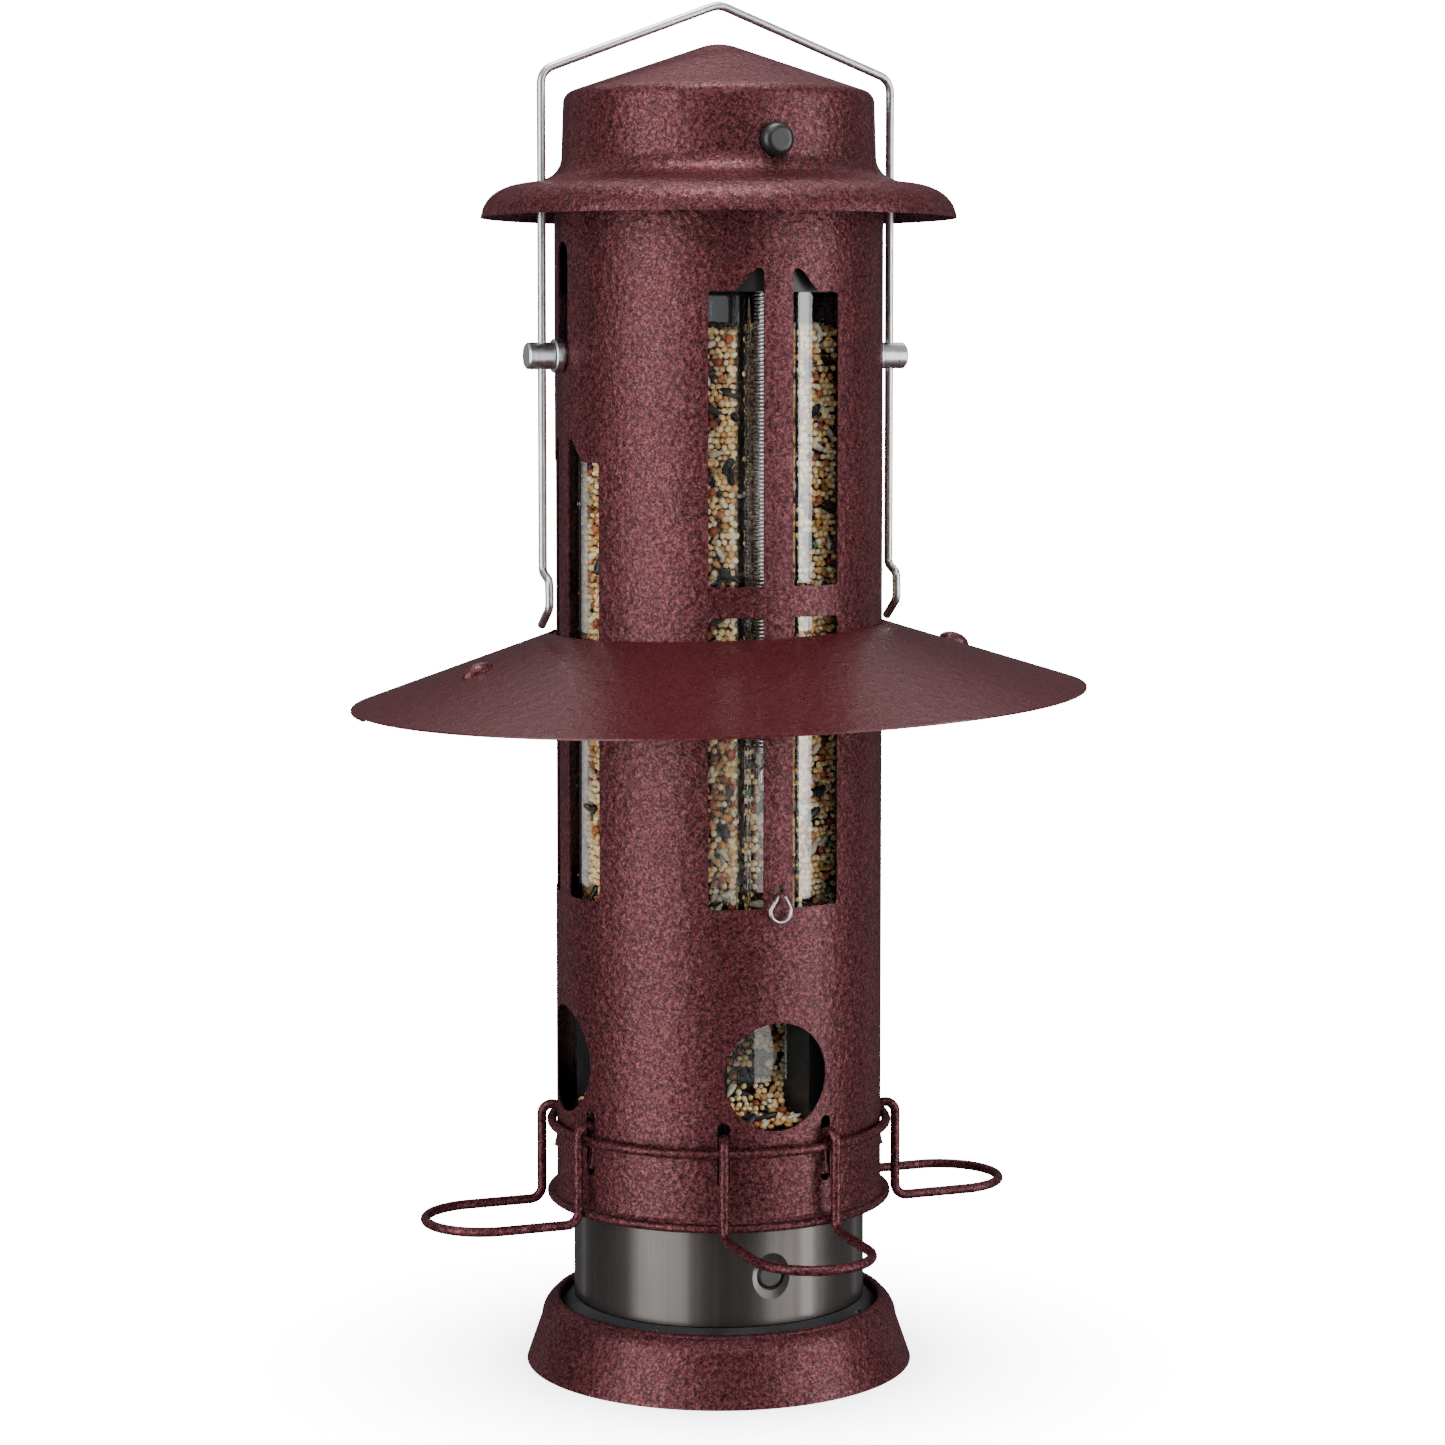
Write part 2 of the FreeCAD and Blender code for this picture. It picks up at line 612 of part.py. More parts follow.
# ---- perches ----
def perch_ring():
    return Part.makeTorus(RING_R, PERCH_WIRE / 2, Vector(0, 0, RING_Z))


def perch():
    """One wire: tail in a slot, hook over the ring, leg down, loop out to the front and back."""
    def side(sign):
        angle = math.radians(PERCH_SLOT_ANGLE) * sign

        def at(r, z):
            return Vector(r * math.sin(angle), -r * math.cos(angle), z)
        return [at(PERCH_TAIL_R + 1.2, PERCH_SLOT[0] + 2.6), at(PERCH_TAIL_R, PERCH_SLOT[0] + 8.0),
                at(PERCH_TAIL_R, PERCH_HOOK_Z), at(PERCH_LEG_R, PERCH_HOOK_Z), at(PERCH_LEG_R, PERCH_Z)]
    half = PERCH_LEG_R * math.sin(math.radians(PERCH_SLOT_ANGLE))
    tip = [Vector(half, -PERCH_REACH, PERCH_Z), Vector(-half, -PERCH_REACH, PERCH_Z)]
    points = side(1) + tip + side(-1)[::-1]
    hook = (PERCH_LEG_R - PERCH_TAIL_R) / 2 - 0.02
    bends = [8.0, hook, hook, 5.0, half - 0.02]
    return bent_wire(points, bends + bends[::-1], PERCH_WIRE)


# ---- lid ----
def lid_shell():
    """Spun steel lid: cone, short drum, flared neck and domed brim."""
    tip = LID_TIP_BALL
    half = math.radians(LID_SLOPE / 2)
    full = math.radians(LID_SLOPE)
    tip_middle = (tip * math.sin(half), 0, LID_APEX - tip * (1 - math.cos(half)))
    tip_end = (tip * math.sin(full), 0, LID_APEX - tip * (1 - math.cos(full)))
    edges = [
        arc((0, 0, LID_APEX), tip_middle, tip_end),
        line(tip_end, (58.0, 0, 506.16)),
        arc((58.0, 0, 506.16), (60.46, 0, 504.32), (61.4, 0, 501.4)),
        line((61.4, 0, 501.4), (LID_CYL_R, 0, 480.5)),
        arc((LID_CYL_R, 0, 480.5), (64.2, 0, 474.8), (68.0, 0, 472.0)),
        line((68.0, 0, 472.0), (74.2, 0, 469.7)),
        arc((74.2, 0, 469.7), (81.0, 0, 469.3), (86.5, 0, 467.3)),
        arc((86.5, 0, 467.3), (91.4, 0, 463.2), (BRIM_R, 0, BRIM_LOW)),
    ]
    shell = sheet_turned(edges, SHEET)
    for x in (-BAIL_X, BAIL_X):
        shell = shell.cut(Part.makeCylinder(2.3, 30, Vector(x, 0, 455)))
    hole = bar_front(BUTTON_D / 2 + 0.3, 50, 75, BUTTON_Z)
    return shell.cut(hole).cut(turned(hole, 180))


def lid_button():
    """Domed black push button with a flange behind the lid's drum."""
    face = 66.2
    cap = bar_front(BUTTON_D / 2, 58.6, face, BUTTON_Z)
    cap = cap.makeFillet(3.0, [edge_at(cap, -face)])
    return cap.fuse(bar_front(7.7, 58.6, 60.1, BUTTON_Z))


def lid_spring():
    """Steel strip behind a button, hung from under the lid's cone."""
    strip = block((-4.5, 4.5), (-54.6, -54.0), (BUTTON_Z - 7, 504.0))
    tab = block((-4.5, 4.5), (-54.6, -40.0), (503.4, 504.0))
    rivet = Part.makeCylinder(1.6, 5.6, Vector(0, -46, 503.0))
    return strip.fuse(tab).fuse(rivet).removeSplitter()


# ---- write every node ----
def main():
    save("base_skirt", base_skirt())
    save("base_floor", base_floor())
    save("base_screws", base_screws())
    save("lower_tube", lower_tube())
    save("seed_tray", seed_tray())
    save("port_ring", port_ring())
    save("seed_tube", seed_tube())
    save("seed_fill", seed_fill())
    save("top_collar", top_collar())
    save("cross_rod", cross_rod())
    for side, way in (("right", 0), ("left", 180)):
        save("hanger_pin_" + side, turned(hanger_pin(), way))
        save("pin_spacer_" + side, turned(pin_spacer(), way))
    save("bail", bail())
    save("shroud", shroud())
    save("perch_ring", perch_ring())
    save("lid_shell", lid_shell())
    front_half = guard_half(GUARD_LAP_LIFT, GUARD_LAP)
    save("guard_front", tilt(front_half.fuse(guard_bump()).fuse(guard_bump_left())))
    save("guard_back", tilt(turned(guard_half(0.0, 0), 180)))
    for face in ("front", "right", "back", "left"):
        way = FACES[face]
        save("port_bay_" + face, turned(port_bay(), way))
        save("port_baffle_" + face, turned(port_baffle(), way))
        save("perch_" + face, turned(perch(), way))
    for face in ("front", "back"):
        way = FACES[face]
        save("spring_" + face, turned(spring(), way))
        save("link_wire_" + face, turned(link_wire(), way))
        save("spring_anchor_" + face, turned(spring_anchor(), way))
        save("lid_button_" + face, turned(lid_button(), way))
        save("lid_spring_" + face, turned(lid_spring(), way))
        save("base_snap_" + face, turned(base_snap(), way))
        save("base_snap_spring_" + face, turned(base_snap_spring(), way))


main()
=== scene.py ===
"""Looks of a hanging tube bird feeder: hammered paint, clear tube, seed, springs and wire."""

import json
import math

import bpy
import numpy as np
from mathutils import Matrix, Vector


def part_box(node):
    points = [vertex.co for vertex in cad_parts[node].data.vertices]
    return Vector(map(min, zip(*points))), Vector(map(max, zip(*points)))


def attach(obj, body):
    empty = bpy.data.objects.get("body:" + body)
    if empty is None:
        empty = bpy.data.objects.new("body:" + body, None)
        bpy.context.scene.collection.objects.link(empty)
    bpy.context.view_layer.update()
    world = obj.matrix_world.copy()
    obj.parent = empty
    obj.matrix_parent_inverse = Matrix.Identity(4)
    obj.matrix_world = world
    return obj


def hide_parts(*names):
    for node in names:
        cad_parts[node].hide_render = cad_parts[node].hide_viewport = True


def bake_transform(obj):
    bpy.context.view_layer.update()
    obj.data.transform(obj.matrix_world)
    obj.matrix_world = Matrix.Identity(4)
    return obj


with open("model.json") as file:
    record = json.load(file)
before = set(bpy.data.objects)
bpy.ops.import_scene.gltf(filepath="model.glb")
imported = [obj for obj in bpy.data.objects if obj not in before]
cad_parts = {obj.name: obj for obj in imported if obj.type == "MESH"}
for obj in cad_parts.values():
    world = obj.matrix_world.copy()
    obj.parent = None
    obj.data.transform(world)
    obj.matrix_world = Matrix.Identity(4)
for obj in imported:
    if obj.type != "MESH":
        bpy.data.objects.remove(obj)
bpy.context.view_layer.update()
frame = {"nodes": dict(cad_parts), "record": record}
nodes = frame["nodes"]
MM = 0.001
BODY = "feeder_body"
FACES = (("front", 0), ("back", 180))                   # name of a face and its turn from the front

# ---- places, in metres ----
TUBE_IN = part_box("seed_fill")[1][0] + 0.4 * MM          # inner radius of the clear tube
TUBE_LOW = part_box("seed_tube")[0][2]
TUBE_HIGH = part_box("seed_tube")[1][2]
SEED_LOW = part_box("seed_fill")[0][2]
SEED_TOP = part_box("seed_fill")[1][2]
TRAY_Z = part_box("port_ring")[0][2]
BAY_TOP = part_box("port_bay_front")[1][2]
CHANNEL_IN = 43.0 * MM                                  # inner face of a spring channel
CHANNEL_HALF = 12.5 * MM

RIB_X = 4.6 * MM                                        # clear ribs, either side of the channel's middle
RIB_R = 0.8 * MM
RIB_PROUD = 2.3 * MM                                    # middle of a rib, out from the channel's inner face

SPRING_LOW, SPRING_HIGH = 250.0 * MM, 444.5 * MM        # ends of the coils
SPRING_AXIS = 51.5 * MM                                 # from the feeder's axis to the spring's
SPRING_COIL = 4.5 * MM                                  # middle radius of the coil
SPRING_WIRE = 0.42 * MM                                 # radius of its wire
SPRING_PITCH = 1.45 * MM
SPRING_RING = 3.5 * MM                                  # radius of the hook ring at each end

LINK_R = 0.7 * MM                                       # radius of the link wire
LINK_HOOK = 2.2 * MM                                    # half the width of its hook
EYE_R = 4.2 * MM
EYE_DROP = 12.0 * MM                                    # from the hole in the shroud to the foot of the eye

PORT_SEED_R = 40.6 * MM                                 # seed behind the clear baffles
PORT_SEED_HALF = 19.0                                   # half the angle it covers, degrees
SPILL_HALF = 17.0                                       # the same for seed spilled on the tray
SPILL_SLOPE = 0.62
SPILL_TOP = 13.0 * MM                                   # highest spilled seed above the tray
WALL_SEED_LOW = 184 * MM                                # foot of the loose seed behind the windows
SIDE_SEED_TOP = 372 * MM                                # its top behind the side windows
WALL_SEED_REACH = 34.0                                  # how far it runs either side of a face, degrees
CORE_GAP = 3.6 * MM                                     # room for loose seed outside the core


# ---- camera ----
EYE_BACK, EYE_SIDE, EYE_HEIGHT = 1.404, 0.0015, 0.4071


def camera():
    """Left of the front port and above the guard, looking a little down."""
    turn = math.radians(-20.7)
    dip = math.radians(4.25)
    away = Vector((-math.sin(turn), math.cos(turn), 0))
    right = Vector((math.cos(turn), math.sin(turn), 0))
    data = bpy.data.cameras.new("camera")
    data.sensor_width = 36.0
    data.lens = 88.12
    data.shift_y = -0.0799
    data.clip_end = 60.0
    eye = bpy.data.objects.new("camera", data)
    eye.location = away * -EYE_BACK + right * EYE_SIDE + Vector((0, 0, EYE_HEIGHT))
    eye.rotation_euler = (math.pi / 2 - dip, 0, turn)
    bpy.context.scene.collection.objects.link(eye)
    bpy.context.scene.camera = eye
    return away, right


AWAY, RIGHT = camera()


# ---- studio ----
BACKDROP = 18.0                                         # brightness of the plain white behind the feeder
AIM = Vector((0, 0, 0.28))                              # every panel faces the feeder's middle
SURROUND = ((0.35, (0.085, 0.085, 0.09)),               # what the gloss mirrors, from low to high
            (0.95, (0.8, 0.82, 0.85)))


def softbox(name, side_deg, distance, height, size, watts):
    """A soft panel that faces the feeder, side_deg right of the camera's line of sight."""
    data = bpy.data.lights.new(name, "AREA")
    data.shape = "RECTANGLE"
    data.size = size[0]
    data.size_y = size[1]
    data.energy = watts
    lamp = bpy.data.objects.new(name, data)
    angle = math.radians(side_deg)
    spot = AWAY * (-math.cos(angle) * distance) + RIGHT * (math.sin(angle) * distance)
    lamp.location = spot + Vector((0, 0, height))
    lamp.rotation_euler = (AIM - lamp.location).to_track_quat("-Z", "Y").to_euler()
    bpy.context.scene.collection.objects.link(lamp)


def studio():
    softbox("wide_left", -46, 1.6, 0.3, (1.3, 2.0), 37)
    softbox("strip_right", 73, 1.7, 0.3, (0.34, 2.1), 21)
    softbox("fill_right", 49, 1.9, 0.2, (0.8, 2.0), 17)
    softbox("front_high", 8, 2.0, 1.9, (1.4, 0.7), 10)
    softbox("overhead", 0, 0.35, 2.3, (1.3, 1.0), 40)
    softbox("back_high", 180, 1.5, 2.6, (2.0, 0.9), 14)
    softbox("back_left", -134, 1.9, 0.4, (0.3, 1.9), 1.0)
    softbox("back_right", 136, 1.9, 0.4, (0.3, 1.9), 1.0)


def surroundings():
    """Plain white behind the feeder, with a dimmer ramp for light and reflections."""
    world = bpy.data.worlds.new("studio")
    bpy.context.scene.world = world
    world.use_nodes = True
    tree = world.node_tree
    tree.nodes.clear()
    out = tree.nodes.new("ShaderNodeOutputWorld")
    mix = tree.nodes.new("ShaderNodeMixShader")
    path = tree.nodes.new("ShaderNodeLightPath")
    around = tree.nodes.new("ShaderNodeBackground")
    seen = tree.nodes.new("ShaderNodeBackground")
    way = tree.nodes.new("ShaderNodeTexCoord")
    height = tree.nodes.new("ShaderNodeSeparateXYZ")
    sky = tree.nodes.new("ShaderNodeValToRGB")
    for element, (position, colour) in zip(sky.color_ramp.elements, SURROUND):
        element.position = position
        element.color = (*colour, 1)
    tree.links.new(way.outputs["Generated"], height.inputs[0])
    tree.links.new(height.outputs["Z"], sky.inputs[0])
    tree.links.new(sky.outputs["Color"], around.inputs["Color"])
    around.inputs["Strength"].default_value = 1.0
    seen.inputs["Color"].default_value = (1, 1, 1, 1)
    seen.inputs["Strength"].default_value = BACKDROP
    tree.links.new(path.outputs["Is Camera Ray"], mix.inputs[0])
    tree.links.new(around.outputs[0], mix.inputs[1])
    tree.links.new(seen.outputs[0], mix.inputs[2])
    tree.links.new(mix.outputs[0], out.inputs[0])


def floor():
    """Pale round floor that fades to the white of the background and leaves no glare on the gloss."""
    mesh = bpy.data.meshes.new("floor")
    reach = 9.0
    sides = 96
    below = -0.2 * MM
    rim = [(reach * math.cos(2 * math.pi * i / sides), reach * math.sin(2 * math.pi * i / sides), below)
           for i in range(sides)]
    mesh.from_pydata(rim, [], [list(range(sides))])
    obj = bpy.data.objects.new("floor", mesh)
    bpy.context.scene.collection.objects.link(obj)
    paint = Shader("floor_white")
    paint.set("Base Color", (0.8, 0.8, 0.8))
    paint.set("Roughness", 0.7)
    paint.set("Specular IOR Level", 0.15)
    glow = paint.add("ShaderNodeEmission")
    glow.inputs["Color"].default_value = (1, 1, 1, 1)
    glow.inputs["Strength"].default_value = BACKDROP
    mix = paint.add("ShaderNodeMixShader")
    span = paint.add("ShaderNodeVectorMath", operation="LENGTH")
    paint.link(paint.place, span.inputs[0])
    fade = paint.ramp(span.outputs["Value"], [(0.06, 0.12), (0.11, 0.45), (0.2, 1.0)])
    path = paint.add("ShaderNodeLightPath")
    paint.link(paint.math("MULTIPLY", fade, path.outputs["Is Camera Ray"]), mix.inputs[0])
    paint.link(paint.bsdf.outputs[0], mix.inputs[1])
    paint.link(glow.outputs[0], mix.inputs[2])
    unseen = paint.add("ShaderNodeBsdfTransparent")
    hide = paint.add("ShaderNodeMixShader")
    mirrored = paint.math("GREATER_THAN", path.outputs["Is Glossy Ray"], path.outputs["Is Transmission Ray"])
    paint.link(paint.math("MAXIMUM", mirrored, path.outputs["Is Shadow Ray"]), hide.inputs[0])
    paint.link(mix.outputs[0], hide.inputs[1])
    paint.link(unseen.outputs[0], hide.inputs[2])
    paint.link(hide.outputs[0], paint.out.inputs[0])
    mesh.materials.append(paint.mat)


# ---- shader helper ----
class Shader:
    """A Principled material with short ways to add procedural nodes.

    Coordinates are the object's, in metres, so a noise scale is about how many features there are to a metre.
    """

    def __init__(self, name):
        self.mat = bpy.data.materials.new(name)
        self.mat.use_nodes = True
        self.tree = self.mat.node_tree
        self.tree.nodes.clear()
        self.out = self.add("ShaderNodeOutputMaterial")
        self.bsdf = self.add("ShaderNodeBsdfPrincipled")
        self.link(self.bsdf.outputs[0], self.out.inputs[0])
        self.place = self.add("ShaderNodeTexCoord").outputs["Object"]

    def add(self, kind, **settings):
        node = self.tree.nodes.new(kind)
        for key, value in settings.items():
            setattr(node, key, value)
        return node

    def link(self, source, target):
        self.tree.links.new(source, target)

    def put(self, socket, value):
        """Link an output, or set a number or colour, on a socket."""
        if isinstance(value, bpy.types.NodeSocket):
            self.link(value, socket)
        elif isinstance(value, tuple) and len(value) == 3 and socket.type == "RGBA":
            socket.default_value = (*value, 1.0)
        else:
            socket.default_value = value

    def set(self, name, value):
        self.put(self.bsdf.inputs[name], value)

    def noise(self, scale, detail=2.0, rough=0.5, distortion=0.0, vector=None):
        node = self.add("ShaderNodeTexNoise")
        self.link(vector or self.place, node.inputs["Vector"])
        node.inputs["Scale"].default_value = scale
        node.inputs["Detail"].default_value = detail
        node.inputs["Roughness"].default_value = rough
        node.inputs["Distortion"].default_value = distortion
        return node

    def cells(self, scale, feature="F1", vector=None, smooth=0.5):
        node = self.add("ShaderNodeTexVoronoi", feature=feature)
        self.link(vector or self.place, node.inputs["Vector"])
        node.inputs["Scale"].default_value = scale
        if feature == "SMOOTH_F1":
            node.inputs["Smoothness"].default_value = smooth
        return node

    def math(self, operation, a, b):
        node = self.add("ShaderNodeMath", operation=operation)
        self.put(node.inputs[0], a)
        self.put(node.inputs[1], b)
        return node.outputs[0]

    def warped(self, scale, amount):
        """Object coordinates pushed about by noise."""
        wobble = self.noise(scale, 1.0)
        shift = self.add("ShaderNodeVectorMath", operation="SUBTRACT")
        self.link(wobble.outputs["Color"], shift.inputs[0])
        shift.inputs[1].default_value = (0.5, 0.5, 0.5)
        gain = self.add("ShaderNodeVectorMath", operation="SCALE")
        self.link(shift.outputs[0], gain.inputs[0])
        gain.inputs["Scale"].default_value = amount
        total = self.add("ShaderNodeVectorMath", operation="ADD")
        self.link(self.place, total.inputs[0])
        self.link(gain.outputs[0], total.inputs[1])
        return total.outputs[0]

    def stretched(self, x, y, z):
        """Object coordinates scaled along each axis."""
        node = self.add("ShaderNodeVectorMath", operation="MULTIPLY")
        self.link(self.place, node.inputs[0])
        node.inputs[1].default_value = (x, y, z)
        return node.outputs[0]

    def ramp(self, fac, stops):
        """Colour ramp from (position, grey or colour) stops."""
        node = self.add("ShaderNodeValToRGB")
        self.link(fac, node.inputs[0])
        elements = node.color_ramp.elements
        while len(elements) < len(stops):
            elements.new(0.5)
        for element, (position, value) in zip(elements, stops):
            element.position = position
            colour = value if isinstance(value, tuple) else (value, value, value)
            element.color = (*colour, 1.0)
        return node.outputs["Color"]

    def mix(self, fac, a, b, blend="MIX"):
        node = self.add("ShaderNodeMix", data_type="RGBA", blend_type=blend)
        self.put(node.inputs["Factor"], fac)
        self.put(node.inputs[6], a)
        self.put(node.inputs[7], b)
        return node.outputs[2]

    def bump(self, height, distance):
        node = self.add("ShaderNodeBump")
        self.link(height, node.inputs["Height"])
        node.inputs["Strength"].default_value = 1.0
        node.inputs["Distance"].default_value = distance
        return node.outputs["Normal"]


# ---- materials ----
def hammered_paint(name, dark, mid, light, relief, speckle):
    """Hammered metallic paint: soft dimples, with a lighter worm-like net on the raised lines, partly pigment
    and partly painted highlight.
    """
    m = Shader(name)
    warped = m.warped(300, 1.6 * MM)
    dimple = m.cells(360, "SMOOTH_F1", warped, 0.55).outputs["Distance"]
    worm = m.noise(980, 2.0, 0.5, 1.0).outputs[0]
    grain = m.noise(2100, 2.0, 0.6).outputs[0]
    cloud = m.noise(16, 2.0).outputs[0]
    height = m.math("ADD", m.math("MULTIPLY", dimple, 0.75), m.math("MULTIPLY", worm, 0.55))
    height = m.math("ADD", height, m.math("MULTIPLY", grain, 0.12))
    # lighter net where the worm noise raises the surface: partly pigment, partly painted highlight
    net = m.ramp(worm, [(0.40, 0.0), (0.52, 0.4), (0.62, 1.0)])
    net = m.math("MULTIPLY", net, speckle)
    body = m.mix(m.ramp(dimple, [(0.15, 0.0), (0.62, 1.0)]), mid, dark)
    colour = m.mix(net, body, light)
    shade = m.ramp(cloud, [(0.3, 0.86), (0.7, 1.1)])
    m.set("Base Color", m.mix(1.0, colour, shade, "MULTIPLY"))
    m.set("Metallic", 0.55)
    m.set("Specular IOR Level", 0.4)
    m.set("Specular Tint", (0.95, 0.55, 0.58))
    m.set("Roughness", m.ramp(worm, [(0.35, 0.42), (0.65, 0.30)]))
    m.set("Coat Weight", 0.10)
    m.set("Coat Roughness", 0.2)
    m.set("Normal", m.bump(height, relief))
    m.set("Coat Normal", m.bump(height, relief * 0.5))
    return m.mat


def guard_paint():
    """Smoother, glossier burgundy with orange peel."""
    m = Shader("guard_paint")
    peel = m.noise(230, 2.0, 0.5, 0.4).outputs[0]
    fine = m.noise(900, 2.0, 0.55, 0.8).outputs[0]
    height = m.math("ADD", m.math("MULTIPLY", peel, 0.8), m.math("MULTIPLY", fine, 0.45))
    m.set("Base Color", m.mix(m.ramp(fine, [(0.4, 0.0), (0.66, 1.0)]), (0.050, 0.0050, 0.0075),
                              (0.085, 0.014, 0.018)))
    m.set("Metallic", 0.2)
    m.set("Roughness", m.ramp(peel, [(0.3, 0.33), (0.7, 0.26)]))
    m.set("Specular Tint", (1.0, 0.7, 0.72))
    m.set("Coat Weight", 0.2)
    m.set("Coat Roughness", 0.14)
    m.set("Normal", m.bump(height, 0.45 * MM))
    return m.mat


def black_plastic():
    """Black moulding with a fine grain and patches of softer gloss."""
    m = Shader("black_moulding")
    grain = m.noise(1500, 3.0, 0.6).outputs[0]
    haze = m.noise(40, 2.0).outputs[0]
    m.set("Base Color", m.ramp(haze, [(0.3, (0.008, 0.008, 0.009)), (0.7, (0.014, 0.014, 0.015))]))
    m.set("Roughness", m.ramp(haze, [(0.3, 0.26), (0.7, 0.38)]))
    m.set("Normal", m.bump(grain, 0.03 * MM))
    return m.mat


def gunmetal():
    """Smooth smoke-coloured lower tube with faint drawing lines along it."""
    m = Shader("gunmetal_gloss")
    drawn = m.noise(60, 2.0, 0.5, 0.0, m.stretched(6.0, 6.0, 0.12)).outputs[0]
    haze = m.noise(22, 2.0).outputs[0]
    m.set("Base Color", m.ramp(drawn, [(0.3, (0.064, 0.057, 0.053)), (0.7, (0.080, 0.071, 0.067))]))
    m.set("Metallic", 0.82)
    m.set("Roughness", m.ramp(haze, [(0.3, 0.30), (0.7, 0.36)]))
    m.set("Coat Weight", 0.25)
    m.set("Coat Roughness", 0.14)
    m.set("Normal", m.bump(drawn, 0.02 * MM))
    return m.mat


def clear_plastic(name, tint):
    """Clear moulding, faintly wavy; light on its way to a lamp passes straight through."""
    m = Shader(name)
    wave = m.noise(28, 2.0, 0.5, 0.0, m.stretched(1.0, 1.0, 0.3)).outputs[0]
    m.set("Base Color", tint)
    m.set("Roughness", 0.03)
    m.set("IOR", 1.45)
    m.set("Transmission Weight", 1.0)
    m.set("Normal", m.bump(wave, 0.05 * MM))
    clear = m.add("ShaderNodeBsdfTransparent")
    clear.inputs["Color"].default_value = (0.95, 0.965, 0.96, 1)
    path = m.add("ShaderNodeLightPath")
    mix = m.add("ShaderNodeMixShader")
    m.link(path.outputs["Is Shadow Ray"], mix.inputs[0])
    m.link(m.bsdf.outputs[0], mix.inputs[1])
    m.link(clear.outputs[0], mix.inputs[2])
    m.link(mix.outputs[0], m.out.inputs[0])
    return m.mat


def zinc_wire(name, base, rough, streak):
    """Bright plated steel with soft streaks and a few dull patches."""
    m = Shader(name)
    streaks = m.noise(900, 2.0, 0.5, 0.0, m.stretched(1.0, 1.0, streak)).outputs[0]
    patch = m.noise(120, 3.0, 0.6).outputs[0]
    dull = tuple(c * 0.8 for c in base)
    m.set("Base Color", m.mix(m.ramp(patch, [(0.42, 0.0), (0.68, 1.0)]), base, dull))
    m.set("Metallic", 1.0)
    m.set("Roughness", m.ramp(streaks, [(0.3, rough), (0.7, rough + 0.14)]))
    m.set("Normal", m.bump(streaks, 0.03 * MM))
    return m.mat


def seed_paint(name, colours, rough=0.45, scale=700, relief=0.06 * MM):
    """Seed coat; each seed takes its own colour between the stops."""
    m = Shader(name)
    per_seed = m.add("ShaderNodeNewGeometry").outputs["Random Per Island"]
    base = m.ramp(per_seed, colours)
    spots = m.noise(scale, 2.0, 0.6).outputs[0]
    m.set("Base Color", m.mix(1.0, base, m.ramp(spots, [(0.3, 0.72), (0.62, 1.06)]), "MULTIPLY"))
    m.set("Roughness", rough)
    m.set("Normal", m.bump(spots, relief))
    return m.mat


def shaded_packed_seed():
    """Deep seed behind the first layer, as cells of seed colours painted darker as shade deep in the heap,
    with painted shade in the gaps.
    """
    m = Shader("shaded_packed_seed")
    cell = m.cells(390)
    gap = m.cells(390, "DISTANCE_TO_EDGE").outputs["Distance"]
    pick = m.add("ShaderNodeSeparateColor")
    m.link(cell.outputs["Color"], pick.inputs[0])
    # seed colours, mostly painted darker than the loose seed as shade deep in the heap
    tint = m.ramp(pick.outputs[0], [
        (0.0, (0.20, 0.115, 0.05)), (0.45, (0.36, 0.23, 0.11)), (0.7, (0.16, 0.045, 0.018)),
        (0.86, (0.02, 0.018, 0.017)), (1.0, (0.42, 0.34, 0.24))])
    # painted shade: near-black in the gaps between the cells
    m.set("Base Color", m.mix(m.ramp(gap, [(0.0, 1.0), (0.22, 0.0)]), tint, (0.02, 0.010, 0.005)))
    m.set("Roughness", 0.6)
    m.set("Normal", m.bump(m.ramp(gap, [(0.0, 0.0), (0.4, 1.0)]), 0.8 * MM))
    return m.mat


MATERIALS = {
    "hammered_burgundy": hammered_paint("hammered_burgundy", (0.020, 0.0017, 0.0034), (0.058, 0.0060, 0.0098),
                                        (0.25, 0.090, 0.098), 0.42 * MM, 0.48),
    "guard_burgundy": guard_paint(),
    "black_plastic": black_plastic(),
    "gunmetal": gunmetal(),
    "clear_plastic": clear_plastic("clear_tube_plastic", (0.97, 0.985, 0.98)),
    # clear plastic tinted grey: painted shade on the seed seen through the baffles
    "shade_tinted_plastic": clear_plastic("shade_tinted_baffle_plastic", (0.60, 0.61, 0.61)),
    "zinc_steel": zinc_wire("zinc_steel", (0.66, 0.67, 0.68), 0.26, 0.05),
    "spring_steel": zinc_wire("spring_steel", (0.60, 0.60, 0.60), 0.22, 0.4),
    "seed": shaded_packed_seed(),
}


def dress_nodes():
    """Give every CAD node the material of its slot; the baffles are the clear plastic tinted grey, as painted
    shade on the seed behind them.
    """
    slots = {part["node"]: part["material_slot"] for part in frame["record"]["subparts"]}
    for name, obj in nodes.items():
        obj.data.materials.clear()
        is_baffle = name.startswith("port_baffle")
        obj.data.materials.append(MATERIALS["shade_tinted_plastic" if is_baffle else slots[name]])
    soft = nodes["seed_tube"].modifiers.new("soft edges", "BEVEL")
    soft.width = 0.7 * MM
    soft.segments = 3
    soft.limit_method = "ANGLE"
    soft.angle_limit = math.radians(50)


